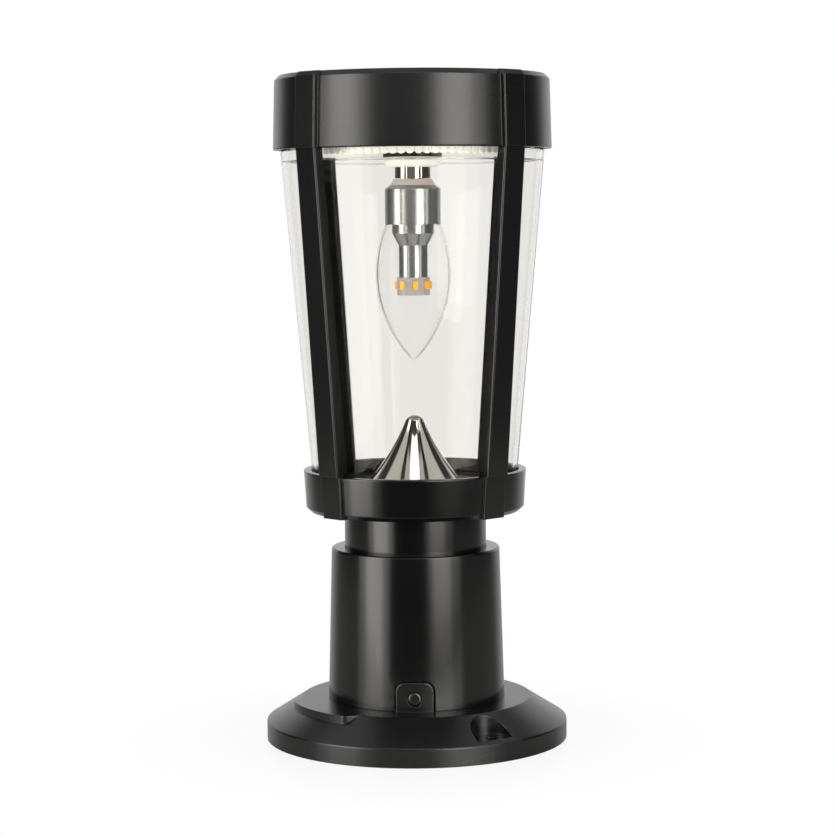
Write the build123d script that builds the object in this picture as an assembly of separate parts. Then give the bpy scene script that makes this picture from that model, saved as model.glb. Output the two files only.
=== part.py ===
from build123d import *
import os
from math import atan, cos, hypot, radians, sin, tan

# Solar post light: a round flange base carries a post sleeve, the sleeve carries a lantern of four struts
# round a clear tapered shade, and a solar head with a candle bulb hangs in the ring on top of the struts.
# Millimetres, +Z up, the origin at the middle of the flange's underside, the front towards -Y.
# An angle is measured about +Z from the front, positive towards +X.

# Clearances
fit_gap = 0.2
screw_gap = 0.05
running_gap = 0.3

# Flange base
flange_radius = 75.0
flange_rim_height = 9.1
flange_slope_width = 18.0
flange_height = 20.5
flange_wall = 4.0
flange_edge_round = 1.0
spigot_height = 3.0
spigot_wall = 4.3
flange_rib_count = 6
flange_rib_thickness = 2.4
flange_rib_lift = 3.0

# Fixing pockets in the flange
pocket_count = 2
pocket_angle = 32.5
bolt_edge_distance = 7.0
bolt_hole_radius = 2.6
pocket_end_radius = 9.8
pocket_flare = 3.0
pocket_sill = 1.4

# Bare name pad on the flange
pad_angle = -53.2
pad_setback = 12.0
pad_corner_angle = 20.7
pad_foot_angle = 26.2
pad_corner_round = 3.5

# Tabs that hold the sleeve down on the flange
tab_count = 3
tab_width = 18.6
tab_height = 14.4
tab_corner_radius = 4.7
tab_thickness = 3.4
tab_proud = 0.9
tab_groove = 0.5
tab_edge_round = 0.7
tab_screw_height = 6.3
tab_screw_radius = 2.0
tab_screw_head_radius = 3.3
tab_screw_head_height = 2.0
tab_screw_reach = 2.6

# Post sleeve
sleeve_base_radius = 44.0
sleeve_top_radius = 41.8
sleeve_height = 75.1
post_bore_radius = 38.9
sleeve_edge_round = 1.0
neck_socket_depth = 3.6
web_thickness = 4.0
web_hole_radius = 24.0

# Neck and lower ring
neck_radius = 35.2
neck_wall = 3.2
neck_height = 18.4
neck_boss_count = 3
neck_boss_radius = 4.2
neck_screw_radius = 1.9
neck_screw_head_radius = 3.4
neck_screw_head_height = 2.4
neck_screw_grip = 10.0
lower_ring_height = 20.5
lower_ring_base_radius = 54.0
lower_ring_top_radius = 55.3
lower_ring_skirt = 3.0
lower_ring_chamfer = 2.2
lower_pilaster_proud = 1.35
ring_edge_round = 0.6
lantern_floor_depth = 7.5
lantern_floor_thickness = 3.0
housing_rib_count = 8
housing_rib_thickness = 2.0

# Cone reflector on the lantern floor
cone_height = 34.2
cone_base_radius = 24.2
cone_waist_radius = 12.2
cone_waist_height = 16.5
cone_tip_radius = 4.4
cone_tip_height = 2.5
cone_wall = 2.0
cone_boss_radius = 4.2
cone_screw_radius = 1.9
cone_screw_head_radius = 3.6
cone_screw_head_height = 2.4
cone_screw_grip = 9.0

# Clear shade
shade_base_radius = 50.6
shade_top_radius = 65.0
shade_height = 163.5
shade_wall = 2.5
shade_rim_wall = 3.4
shade_rim_height = 5.0
shade_rim_round = 0.9
shade_clearance = 0.6
seal_thickness = 1.0

# Struts
strut_count = 4
strut_width = 13.6
strut_foot_face = 58.0
strut_top_face = 70.55
strut_edge_round = 0.8
tenon_width = 7.6
tenon_thickness = 1.8
lower_tenon_setback = 1.4
lower_tenon_length = 8.0
upper_tenon_length = 12.0
upper_tenon_wall = 1.2
strut_screw_radius = 1.3
strut_screw_head_radius = 2.4
strut_screw_head_height = 1.5

# Top ring
top_ring_height = 36.2
top_ring_base_radius = 68.55
top_ring_top_radius = 67.6
top_ring_wall = 2.9
top_ring_bevel = 2.4
upper_pilaster_proud = 2.4
panel_well_radius = 63.6
panel_well_depth = 8.3
ledge_width = 3.0
ledge_thickness = 3.0

# Solar panel and its tray
tray_plate_thickness = 2.4
tray_rim_wall = 1.5
tray_skirt_wall = 2.0
tray_boss_radius = 3.6
backing_thickness = 1.6
cell_thickness = 0.3
cell_gap = 1.2
cell_row_count = 6
cell_edge_margin = 3.0
panel_glass_thickness = 2.2
lead_hole_radius = 4.0

# Fluted ceiling reflector
ceiling_drop = 2.0
ceiling_radius = 55.0
ceiling_thickness = 2.6
flute_count = 84
flute_depth = 1.5
flute_share = 0.8
ceiling_screw_inset = 5.0
ceiling_screw_count = 4
ceiling_screw_angle = 67.5
ceiling_screw_radius = 1.5
ceiling_screw_head_radius = 2.8
ceiling_screw_head_height = 1.6
ceiling_screw_grip = 8.0

# Lamp holder
holder_radius = 14.5
holder_flange_radius = 21.0
holder_flange_thickness = 2.4
holder_drop = 4.3
holder_height = 12.0
holder_screw_circle = 17.8
holder_screw_radius = 1.2
holder_screw_head_radius = 2.2
holder_screw_head_height = 1.4
collar_radius = 14.0
collar_round = 3.0
collar_height = 4.9
shell_radius = 8.9
shell_wall = 2.6
shell_drop = 5.5
contact_radius = 4.0
contact_thickness = 0.8

# Candle bulb, sizes from its skirt downwards
bulb_cap_length = 19.0
bulb_tip_radius = 2.8
bulb_tip_length = 1.6
bulb_skirt_radius = 11.1
bulb_skirt_top_radius = 9.5
bulb_skirt_height = 3.0
sink_radius = 13.8
sink_shoulder_height = 1.7
sink_height = 17.5
sink_edge_round = 0.8
stem_collar_radius = 10.4
stem_collar_height = 4.5
stem_funnel_height = 6.0
stem_radius = 7.15
stem_height = 15.6
led_ring_radius = 8.15
led_ring_height = 8.8
led_chip_count = 8
led_chip_angle = 8.0
led_chip_width = 2.2
led_chip_height = 3.8
led_chip_thickness = 0.7
led_chip_drop = 3.9
envelope_mouth_radius = 13.7
envelope_radius = 18.55
envelope_belly_drop = 24.5
envelope_length = 67.7
envelope_wall = 1.0

# Battery, control board and switch inside the head
battery_radius = 9.2
battery_length = 65.0
battery_offset = 26.0
battery_box_wall = 1.4
battery_contact_thickness = 0.6
board_length = 50.0
board_width = 26.0
board_thickness = 1.6
board_standoff_radius = 3.0
board_standoff_height = 6.0
board_screw_spacing = 42.0
board_screw_radius = 1.2
board_screw_head_radius = 2.2
board_screw_head_height = 1.4
board_chip_size = (9.0, 7.0, 2.2)
board_coil_radius = 4.0
board_coil_height = 4.2
switch_offset = 44.0
switch_body_size = 13.0
switch_body_height = 8.0
switch_button_radius = 3.8
switch_button_proud = 2.5
switch_button_flange = 1.2
switch_button_flange_height = 1.5
switch_travel = 1.5
lead_radius = 0.8
lead_spread = 4.0

# Heights up the lamp, each from the piece that carries it
pocket_floor_height = flange_rim_height + pocket_sill
sleeve_base = flange_height
sleeve_top = sleeve_base + sleeve_height
web_top = sleeve_top - neck_socket_depth
web_bottom = web_top - web_thickness
lower_ring_base = sleeve_top + neck_height
lower_ring_top = lower_ring_base + lower_ring_height
floor_top = lower_ring_top - lantern_floor_depth
floor_bottom = floor_top - lantern_floor_thickness
shade_base = floor_top + seal_thickness
shade_top = shade_base + shade_height
top_ring_base = shade_top + shade_clearance
top_ring_top = top_ring_base + top_ring_height
bevel_base = top_ring_top - top_ring_bevel
ledge_top = top_ring_top - panel_well_depth
ledge_base = ledge_top - ledge_thickness
tray_plate_base = ledge_top + seal_thickness
tray_plate_top = tray_plate_base + tray_plate_thickness
cell_base = tray_plate_top + backing_thickness
panel_glass_base = cell_base + cell_thickness
panel_glass_top = panel_glass_base + panel_glass_thickness
ceiling_base = top_ring_base - ceiling_drop
ceiling_top = ceiling_base + ceiling_thickness
holder_base = ceiling_top - holder_drop
holder_top = ceiling_top + holder_height
collar_base = holder_base - collar_height
shell_base = collar_base - shell_drop
bulb_top = shell_base - running_gap
bulb_tip_base = bulb_top + bulb_cap_length
contact_base = bulb_tip_base + bulb_tip_length + running_gap
skirt_base = bulb_top - bulb_skirt_height
sink_shoulder = skirt_base - sink_shoulder_height
sink_base = sink_shoulder - sink_height
stem_collar_base = sink_base - stem_collar_height
stem_top = stem_collar_base - stem_funnel_height
led_ring_top = stem_top - stem_height
led_ring_base = led_ring_top - led_ring_height
bulb_point = sink_base - envelope_length
battery_height = tray_plate_base - running_gap - battery_radius
board_top = tray_plate_base - board_standoff_height
board_base = board_top - board_thickness
switch_base = ceiling_top

# Radii that one piece takes from another
flange_shoulder_radius = flange_radius - flange_slope_width
bolt_circle_radius = flange_radius - bolt_edge_distance
pad_radius = flange_radius - pad_setback
spigot_radius = post_bore_radius - fit_gap
flange_hole_radius = spigot_radius - spigot_wall
tab_inner_radius = sleeve_base_radius + tab_proud - tab_thickness
recess_radius = tab_inner_radius - fit_gap
tab_screw_level = flange_height + tab_screw_height
neck_bore_radius = neck_radius - neck_wall
neck_boss_circle = neck_bore_radius - neck_boss_radius + screw_gap
shade_slope = (shade_top_radius - shade_base_radius) / shade_height
shade_seat_radius = shade_base_radius + shade_slope * (lower_ring_top - shade_base) + running_gap
skirt_inner_radius = lower_ring_base_radius - lower_ring_skirt
top_skirt_inner_radius = top_ring_base_radius - top_ring_wall
ledge_radius = panel_well_radius - ledge_width
tray_radius = panel_well_radius - running_gap
tray_skirt_radius = ledge_radius - running_gap
tray_skirt_bore = tray_skirt_radius - tray_skirt_wall
panel_radius = tray_radius - tray_rim_wall - fit_gap
ceiling_screw_circle = ceiling_radius - ceiling_screw_inset
shell_bore_radius = shell_radius - shell_wall
bulb_cap_radius = shell_bore_radius - running_gap
upper_tenon_face = top_skirt_inner_radius + upper_tenon_wall + tenon_thickness
lower_tenon_face = strut_foot_face - lower_pilaster_proud - lower_tenon_setback
strut_screw_level = top_ring_base + upper_tenon_length / 2
strut_start_angle = 45.0
front_to_back = 180.0

# A plane through the axis and the front, with x outwards and y up
side_plane = Plane(origin=(0, 0, 0), x_dir=(0, -1, 0), z_dir=(-1, 0, 0))


def sleeve_radius(height):
    """Outside radius of the sleeve at a height."""
    slope = (sleeve_base_radius - sleeve_top_radius) / sleeve_height
    return sleeve_base_radius - slope * (height - sleeve_base)


def shade_radius(height):
    """Outside radius of the shade at a height."""
    return shade_base_radius + shade_slope * (height - shade_base)


def turned(*corners):
    """A body turned about the lamp's axis from (radius, height) corners."""
    return revolve(Plane.XZ * Polygon(*corners, align=None), Axis.Z)


def ring(inner, outer, base, top):
    """A plain turned ring, or a disc where the inner radius is 0."""
    return turned((inner, base), (outer, base), (outer, top), (inner, top))


def slab(width, *corners):
    """A slab centred on the front, from (distance from the axis, height) corners."""
    return extrude(side_plane * Polygon(*corners, align=None), width / 2, both=True)


def upright_rod(radius, distance, base, top):
    """An upright round rod in front of the axis."""
    return Pos(0, -distance, base) * extrude(Circle(radius), top - base)


def radial_rod(radius, inner, outer, height):
    """A level round rod that points from the axis to the front."""
    return extrude(Plane.XZ.offset(inner) * Pos(0, height) * Circle(radius), outer - inner)


def turned_to(angle, piece):
    """A piece made at the front, carried round the axis by an angle."""
    return Rot(0, 0, angle) * piece


def around(count, piece, start=0.0):
    """Equal copies of a piece round the axis."""
    return [turned_to(start + 360 / count * step, piece) for step in range(count)]


def round_edges(body, radius, height, least_radius):
    """Rounds the full circular edges of a turned body that lie at one height outside a radius."""
    level = body.edges().filter_by(GeomType.CIRCLE).filter_by_position(Axis.Z, height, height)
    return fillet([edge for edge in level if edge.radius > least_radius], radius)


def round_outer_face(bar, radius):
    """Rounds the two long edges of a slab's outer face."""
    outer_face = bar.faces().sort_by(Axis.Y)[:2].sort_by(SortBy.AREA)[-1]
    long_edges = outer_face.edges().sort_by(SortBy.LENGTH)[-2:]
    return fillet(long_edges, radius)


def point_on_circle(radius, angle):
    """A point of a circle round the axis, in plan."""
    return (radius * sin(radians(angle)), -radius * cos(radians(angle)))


def pocket_outline(margin=0.0):
    """Plan of a fixing pocket, or of the block a margin round it: a round end and flaring sides."""
    lean = radians(pocket_flare)
    end_radius = pocket_end_radius + margin
    run = 2 * (flange_radius - bolt_circle_radius)
    touch = (end_radius * cos(lean), -bolt_circle_radius + end_radius * sin(lean))
    end = (touch[0] + run * tan(lean), touch[1] - run)
    mouth = Polygon((-touch[0], touch[1]), (-end[0], end[1]), end, touch, align=None)
    return Pos(0, -bolt_circle_radius) * Circle(end_radius) + mouth


def tab_outline(margin=0.0):
    """Front view of a tab, or of the recess a margin round it, with rounded top corners."""
    root = flange_wall / 2
    blank = Rectangle(tab_width + 2 * margin, root + tab_height + margin, align=(Align.CENTER, Align.MIN))
    rounded = fillet(blank.vertices().group_by(Axis.Y)[-1], tab_corner_radius + margin)
    return Pos(0, flange_height - root) * rounded


def flange_tab():
    """A tab that follows the sleeve's taper and stands a little proud of it."""
    low = flange_height - flange_wall
    high = flange_height + tab_height + tab_proud
    outer_low = sleeve_radius(low) + tab_proud
    outer_high = sleeve_radius(high) + tab_proud
    band = turned((tab_inner_radius, low), (outer_low, low), (outer_high, high), (tab_inner_radius, high))
    tab = band & extrude(Plane.XZ * tab_outline(), sleeve_base_radius + tab_thickness)
    face_edges = tab.faces().sort_by(Axis.Y)[0].edges()
    tab = fillet(face_edges.sort_by(Axis.Z)[1:], tab_edge_round)
    head_seat = sleeve_radius(tab_screw_level) + tab_proud - tab_screw_head_height
    tab -= radial_rod(tab_screw_radius + fit_gap, 0, flange_radius, tab_screw_level)
    return tab - radial_rod(tab_screw_head_radius + fit_gap, head_seat, flange_radius, tab_screw_level)


def flange_pad():
    """The flat bare pad, level with the shoulder, that stands out over the sloping flange."""
    foot_left = point_on_circle(flange_shoulder_radius, -pad_foot_angle)
    corner_left = point_on_circle(pad_radius, -pad_corner_angle)
    middle = point_on_circle(pad_radius, 0)
    corner_right = point_on_circle(pad_radius, pad_corner_angle)
    foot_right = point_on_circle(flange_shoulder_radius, pad_foot_angle)
    outline = [
        Line(foot_left, corner_left),
        ThreePointArc(corner_left, middle, corner_right),
        Line(corner_right, foot_right),
        Line(foot_right, foot_left),
    ]
    plan = make_face(outline)
    corners = plan.vertices().sort_by(Axis.Y)[:2]
    plan = fillet(corners, pad_corner_round)
    return Pos(0, 0, flange_height - flange_wall) * extrude(plan, flange_wall)


def flange_base():
    """Cast flange: a sloping shell with ribs, fixing pockets, a bare pad and the sleeve's tabs."""
    slope = (flange_height - flange_rim_height) / (flange_radius - flange_shoulder_radius)
    drop = flange_wall * hypot(1, slope)
    cavity_radius = flange_radius - flange_wall
    cavity_rim = flange_rim_height + flange_wall * slope - drop
    cavity_top = flange_height - flange_wall
    cavity_shoulder = cavity_radius - (cavity_top - cavity_rim) / slope
    blank = turned(
        (flange_hole_radius, 0),
        (flange_radius, 0),
        (flange_radius, flange_rim_height),
        (flange_shoulder_radius, flange_height),
        (flange_hole_radius, flange_height),
    )
    cavity = turned(
        (flange_hole_radius, 0),
        (cavity_radius, 0),
        (cavity_radius, cavity_rim),
        (cavity_shoulder, cavity_top),
        (flange_hole_radius, cavity_top),
    )
    rib_reach = (flange_hole_radius + cavity_radius) / 2
    rib_length = flange_radius - flange_wall / 2 - flange_hole_radius
    rib = Pos(0, -rib_reach, flange_rib_lift) * Box(
        flange_rib_thickness, rib_length, flange_height, align=(Align.CENTER, Align.CENTER, Align.MIN)
    )
    pocket_block = extrude(pocket_outline(flange_wall), flange_height) & blank
    pocket = Pos(0, 0, pocket_floor_height) * extrude(pocket_outline(), flange_height)
    hole = upright_rod(bolt_hole_radius, bolt_circle_radius, 0, flange_height)
    casting = round_edges(blank, flange_edge_round, flange_rim_height, flange_shoulder_radius)
    casting -= cavity
    for filling in around(flange_rib_count, rib & blank):
        casting += filling
    for block in around(pocket_count, pocket_block, pocket_angle):
        casting += block
    casting += turned_to(pad_angle, flange_pad())
    for cut in around(pocket_count, pocket + hole, pocket_angle):
        casting -= cut
    casting += ring(flange_hole_radius, spigot_radius, cavity_top, flange_height + spigot_height)
    for tab in around(tab_count, flange_tab()):
        casting += tab
    return casting


def post_sleeve():
    """Tapered sleeve that takes a three-inch post, with a web under its top for the neck."""
    sleeve = turned(
        (post_bore_radius, sleeve_base),
        (sleeve_base_radius, sleeve_base),
        (sleeve_top_radius, sleeve_top),
        (neck_radius + fit_gap, sleeve_top),
        (neck_radius + fit_gap, web_top),
        (web_hole_radius, web_top),
        (web_hole_radius, web_bottom),
        (post_bore_radius, web_bottom),
    )
    sleeve = round_edges(sleeve, sleeve_edge_round, sleeve_top, neck_radius + 2 * fit_gap)
    window = extrude(Plane.XZ * tab_outline(tab_groove), flange_radius)
    recess = window - Cylinder(recess_radius, 2 * sleeve_top)
    thread = radial_rod(tab_screw_radius + screw_gap, 0, flange_radius, tab_screw_level)
    for cut in around(tab_count, recess + thread):
        sleeve -= cut
    passage = upright_rod(neck_screw_radius + fit_gap, neck_boss_circle, web_bottom, web_top)
    for cut in around(neck_boss_count, passage):
        sleeve -= cut
    return sleeve


def screw(shank_radius, shank_length, head_radius, head_height):
    """A plain screw with its head's seat at the origin, the shank down and the head up."""
    shank = Pos(0, 0, -shank_length) * extrude(Circle(shank_radius), shank_length)
    return shank + extrude(Circle(head_radius), head_height)


def radial_place(distance, height, outward=True):
    """A place in front of the axis whose +Z points outwards, or inwards."""
    return Plane(origin=(0, -distance, height), x_dir=(1, 0, 0), z_dir=(0, -1 if outward else 1, 0))


def sleeve_screws():
    """The screws through the tabs into the sleeve's wall."""
    seat = sleeve_radius(tab_screw_level) + tab_proud - tab_screw_head_height
    length = seat - recess_radius + tab_screw_reach
    one = screw(tab_screw_radius, length, tab_screw_head_radius, tab_screw_head_height)
    return Compound(around(tab_count, radial_place(seat, tab_screw_level) * one))


def neck_screws():
    """The screws from under the sleeve's web up into the neck."""
    length = web_thickness + neck_screw_grip
    one = screw(neck_screw_radius, length, neck_screw_head_radius, neck_screw_head_height)
    place = Pos(0, -neck_boss_circle, web_bottom) * Rot(180, 0, 0)
    return Compound(around(neck_boss_count, place * one))


def lower_ring_radius(height):
    """Outside radius of the lower ring at a height."""
    slope = (lower_ring_top_radius - lower_ring_base_radius) / lower_ring_height
    return lower_ring_base_radius + slope * (height - lower_ring_base)


def lower_housing():
    """Lower ring, lantern floor and neck in one moulding, ribbed underneath."""
    chamfer_top = lower_ring_base + lower_ring_chamfer
    moulding = turned(
        (neck_bore_radius, web_top),
        (neck_radius, web_top),
        (neck_radius, floor_bottom),
        (skirt_inner_radius, floor_bottom),
        (skirt_inner_radius, lower_ring_base),
        (lower_ring_base_radius - lower_ring_chamfer, lower_ring_base),
        (lower_ring_radius(chamfer_top), chamfer_top),
        (lower_ring_top_radius, lower_ring_top),
        (shade_seat_radius, lower_ring_top),
        (shade_seat_radius, floor_top),
        (0, floor_top),
        (0, floor_bottom),
        (neck_bore_radius, floor_bottom),
    )
    moulding = round_edges(moulding, ring_edge_round, lower_ring_top, 0)
    pilaster = slab(
        strut_width - fit_gap,
        (shade_seat_radius + fit_gap, lower_ring_base),
        (lower_ring_base_radius + lower_pilaster_proud, lower_ring_base),
        (lower_ring_top_radius + lower_pilaster_proud, lower_ring_top),
        (shade_seat_radius + fit_gap, lower_ring_top),
    )
    pilaster = round_outer_face(pilaster, ring_edge_round)
    slot_base = lower_ring_top - lower_tenon_length - fit_gap
    slot = slab(
        tenon_width + 2 * fit_gap,
        (lower_tenon_face - tenon_thickness - fit_gap, slot_base),
        (lower_tenon_face + fit_gap, slot_base),
        (lower_tenon_face + fit_gap, lower_ring_top),
        (lower_tenon_face - tenon_thickness - fit_gap, lower_ring_top),
    )
    boss = upright_rod(neck_boss_radius, neck_boss_circle, web_top, floor_bottom)
    pilot = upright_rod(
        neck_screw_radius + screw_gap, neck_boss_circle, web_top, web_top + neck_screw_grip + fit_gap
    )
    rib = slab(
        housing_rib_thickness,
        (neck_radius - neck_wall / 2, floor_bottom),
        (skirt_inner_radius + lower_ring_skirt / 2, floor_bottom),
        (skirt_inner_radius + lower_ring_skirt / 2, lower_ring_base + lower_ring_chamfer),
        (neck_radius - neck_wall / 2, lower_ring_base + lower_ring_chamfer),
    )
    for post in around(strut_count, pilaster, strut_start_angle) + around(housing_rib_count, rib):
        moulding += post
    for post in around(neck_boss_count, boss):
        moulding += post
    for cut in around(strut_count, slot, strut_start_angle) + around(neck_boss_count, pilot):
        moulding -= cut
    return moulding - upright_rod(cone_screw_radius + fit_gap, 0, floor_bottom, floor_top)


def cone_reflector():
    """Polished cone with hollow, curved flanks and a screw boss inside."""
    tip = floor_top + cone_height
    neck = (cone_tip_radius, tip - cone_tip_height)
    waist = (cone_waist_radius, floor_top + cone_waist_height)
    foot = (cone_base_radius, floor_top)
    outline = [
        TangentArc((0, tip), neck, tangent=(1, 0)),
        ThreePointArc(neck, waist, foot),
        Line(foot, (0, floor_top)),
        Line((0, floor_top), (0, tip)),
    ]
    inner_foot = (cone_base_radius - 2 * cone_wall, floor_top)
    inner_waist = (cone_waist_radius - cone_wall, waist[1] - cone_wall)
    inner_top = (cone_tip_radius - cone_wall / 2, tip - cone_tip_height - 2 * cone_wall)
    hollow_outline = [
        ThreePointArc(inner_top, inner_waist, inner_foot),
        Line(inner_foot, (0, floor_top)),
        Line((0, floor_top), (0, inner_top[1])),
        Line((0, inner_top[1]), inner_top),
    ]
    cone = revolve(Plane.XZ * make_face(outline), Axis.Z)
    hollow = revolve(Plane.XZ * make_face(hollow_outline), Axis.Z)
    boss = upright_rod(cone_boss_radius, 0, floor_top, neck[1])
    pilot = upright_rod(cone_screw_radius + screw_gap, 0, floor_top, floor_top + cone_screw_grip + fit_gap)
    return cone - (hollow - boss) - pilot


def cone_screw():
    """The screw from under the lantern floor up into the cone."""
    length = lantern_floor_thickness + cone_screw_grip
    one = screw(cone_screw_radius, length, cone_screw_head_radius, cone_screw_head_height)
    return Pos(0, 0, floor_bottom) * Rot(180, 0, 0) * one


def shade_seal():
    """Flat rubber ring under the shade."""
    return ring(shade_base_radius - shade_wall, shade_base_radius, floor_top, shade_base)


def glass_shade():
    """Clear tapered shade that ends just under the top ring in a rim thickened on the inside."""
    rim_base = shade_top - shade_rim_height
    shade = turned(
        (shade_base_radius - shade_wall, shade_base),
        (shade_base_radius, shade_base),
        (shade_top_radius, shade_top),
        (shade_top_radius - shade_rim_wall, shade_top),
        (shade_radius(rim_base) - shade_rim_wall, rim_base),
        (shade_radius(rim_base) - shade_wall, rim_base),
    )
    return round_edges(shade, shade_rim_round, shade_top, 0)


def strut():
    """One strut at the front: a slanting bar close along the shade, with a tenon at each end."""
    inner_foot = shade_radius(lower_ring_top) + running_gap
    inner_top = shade_radius(top_ring_base) + running_gap
    bar = slab(
        strut_width,
        (inner_foot, lower_ring_top),
        (strut_foot_face, lower_ring_top),
        (strut_top_face, top_ring_base),
        (inner_top, top_ring_base),
    )
    bar = round_outer_face(bar, strut_edge_round)
    lower_tenon = slab(
        tenon_width,
        (lower_tenon_face - tenon_thickness, lower_ring_top - lower_tenon_length),
        (lower_tenon_face, lower_ring_top - lower_tenon_length),
        (lower_tenon_face, lower_ring_top + fit_gap),
        (lower_tenon_face - tenon_thickness, lower_ring_top + fit_gap),
    )
    upper_tenon = slab(
        tenon_width,
        (upper_tenon_face - tenon_thickness, top_ring_base - fit_gap),
        (upper_tenon_face, top_ring_base - fit_gap),
        (upper_tenon_face, top_ring_base + upper_tenon_length),
        (upper_tenon_face - tenon_thickness, top_ring_base + upper_tenon_length),
    )
    pilot = radial_rod(strut_screw_radius + screw_gap, 0, upper_tenon_face + tenon_thickness, strut_screw_level)
    return bar + lower_tenon + upper_tenon - pilot


def strut_screws():
    """The screws from inside the top ring out into the struts' tenons."""
    seat = top_skirt_inner_radius
    length = upper_tenon_face - seat
    one = screw(strut_screw_radius, length, strut_screw_head_radius, strut_screw_head_height)
    flat_seat = seat * cos(atan(strut_screw_head_radius / seat))
    place = radial_place(flat_seat - screw_gap, strut_screw_level, outward=False)
    return Compound(around(strut_count, place * one, strut_start_angle))


def top_ring():
    """Top ring with a bevelled edge, four pilasters over the struts and a ledge for the solar head."""
    hoop = turned(
        (top_skirt_inner_radius, top_ring_base),
        (top_ring_base_radius, top_ring_base),
        (top_ring_top_radius, bevel_base),
        (top_ring_top_radius - top_ring_bevel, top_ring_top),
        (panel_well_radius, top_ring_top),
        (panel_well_radius, ledge_top),
        (ledge_radius, ledge_top),
        (ledge_radius, ledge_base),
        (top_skirt_inner_radius, ledge_base),
    )
    hoop = round_edges(hoop, ring_edge_round, top_ring_base, top_skirt_inner_radius + top_ring_wall / 2)
    hoop = round_edges(hoop, ring_edge_round, bevel_base, panel_well_radius)
    pilaster_root = top_skirt_inner_radius + fit_gap
    pilaster = slab(
        strut_width,
        (pilaster_root, top_ring_base),
        (top_ring_base_radius + upper_pilaster_proud, top_ring_base),
        (top_ring_top_radius + upper_pilaster_proud, bevel_base),
        (top_ring_top_radius + upper_pilaster_proud - top_ring_bevel, top_ring_top),
        (top_ring_top_radius - top_ring_bevel, top_ring_top),
        (pilaster_root, bevel_base),
    )
    pilaster = round_outer_face(pilaster, ring_edge_round)
    slot_top = top_ring_base + upper_tenon_length + fit_gap
    slot = slab(
        tenon_width + 2 * fit_gap,
        (upper_tenon_face - tenon_thickness - fit_gap, top_ring_base),
        (upper_tenon_face + fit_gap, top_ring_base),
        (upper_tenon_face + fit_gap, slot_top),
        (upper_tenon_face - tenon_thickness - fit_gap, slot_top),
    )
    passage = radial_rod(strut_screw_radius + fit_gap, ledge_radius, upper_tenon_face, strut_screw_level)
    for post in around(strut_count, pilaster, strut_start_angle):
        hoop += post
    for cut in around(strut_count, slot + passage, strut_start_angle):
        hoop -= cut
    return hoop


def head_seal():
    """Flat rubber ring between the ledge and the solar head."""
    return ring(ledge_radius + fit_gap, tray_radius - fit_gap, ledge_top + fit_gap / 2, tray_plate_base)


def panel_tray():
    """Tray of the solar head: a rim round the panel, a plate under it and a skirt round the battery."""
    tray = turned(
        (0, tray_plate_base),
        (tray_skirt_bore, tray_plate_base),
        (tray_skirt_bore, ceiling_top),
        (tray_skirt_radius, ceiling_top),
        (tray_skirt_radius, tray_plate_base),
        (tray_radius, tray_plate_base),
        (tray_radius, panel_glass_top),
        (tray_radius - tray_rim_wall, panel_glass_top),
        (tray_radius - tray_rim_wall, tray_plate_top),
        (0, tray_plate_top),
    )
    boss = upright_rod(tray_boss_radius, ceiling_screw_circle, ceiling_top, tray_plate_base)
    pilot = upright_rod(
        ceiling_screw_radius + screw_gap, ceiling_screw_circle, ceiling_top, ceiling_top + ceiling_screw_grip
    )
    standoff = Pos(board_screw_spacing / 2, 0, board_top) * extrude(
        Circle(board_standoff_radius), board_standoff_height
    )
    board_pilot = Pos(board_screw_spacing / 2, 0, board_top) * extrude(
        Circle(board_screw_radius + screw_gap), board_standoff_height
    )
    for post in around(ceiling_screw_count, boss, ceiling_screw_angle) + around(2, standoff):
        tray += post
    for cut in around(ceiling_screw_count, pilot, ceiling_screw_angle) + around(2, board_pilot):
        tray -= cut
    return tray - upright_rod(lead_hole_radius, 0, tray_plate_base, tray_plate_top)


def panel_backing():
    """Board under the solar cells, with a hole for the leads."""
    board = ring(0, panel_radius, tray_plate_top, cell_base)
    return board - upright_rod(lead_hole_radius, 0, tray_plate_top, cell_base)


def solar_cells():
    """Rows of dark cells cut to the round of the panel."""
    field_radius = panel_radius - cell_edge_margin
    pitch = 2 * field_radius / cell_row_count
    field = Circle(field_radius)
    rows = []
    for row in range(cell_row_count):
        middle = (row - (cell_row_count - 1) / 2) * pitch
        strip = field & Pos(0, middle) * Rectangle(2 * field_radius, pitch - cell_gap)
        rows.append(Pos(0, 0, cell_base) * extrude(strip, cell_thickness))
    return Compound([solid for row in rows for solid in row.solids()])


def panel_glass():
    """Clear cover over the solar cells."""
    return ring(0, panel_radius, panel_glass_base, panel_glass_top)


def flute_section(radius):
    """Cross-section of a flute at a distance from the axis: flutes widen and deepen outwards."""
    half_width = flute_share * radius * tan(radians(180 / flute_count))
    depth = flute_depth * radius / ceiling_radius
    outline = Polygon((-half_width, 0), (half_width, 0), (0, depth), align=None)
    return Plane.XZ.offset(radius) * Pos(0, ceiling_base) * outline


def ceiling_reflector():
    """Bright disc over the lamp, with radial flutes that deepen towards its scalloped rim."""
    disc = ring(holder_radius + fit_gap, ceiling_radius, ceiling_base, ceiling_top)
    groove = loft([flute_section(holder_radius / 2), flute_section(ceiling_radius + flute_depth)], ruled=True)
    disc -= around(flute_count, groove, 180 / flute_count)
    passage = upright_rod(ceiling_screw_radius + fit_gap, ceiling_screw_circle, ceiling_base, ceiling_top)
    sink = upright_rod(
        ceiling_screw_head_radius + fit_gap,
        ceiling_screw_circle,
        ceiling_base,
        ceiling_base + ceiling_screw_head_height,
    )
    for cut in around(ceiling_screw_count, passage + sink, ceiling_screw_angle):
        disc -= cut
    window = upright_rod(switch_button_radius + running_gap, switch_offset, ceiling_base, ceiling_top)
    return disc - turned_to(front_to_back, window)


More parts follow.
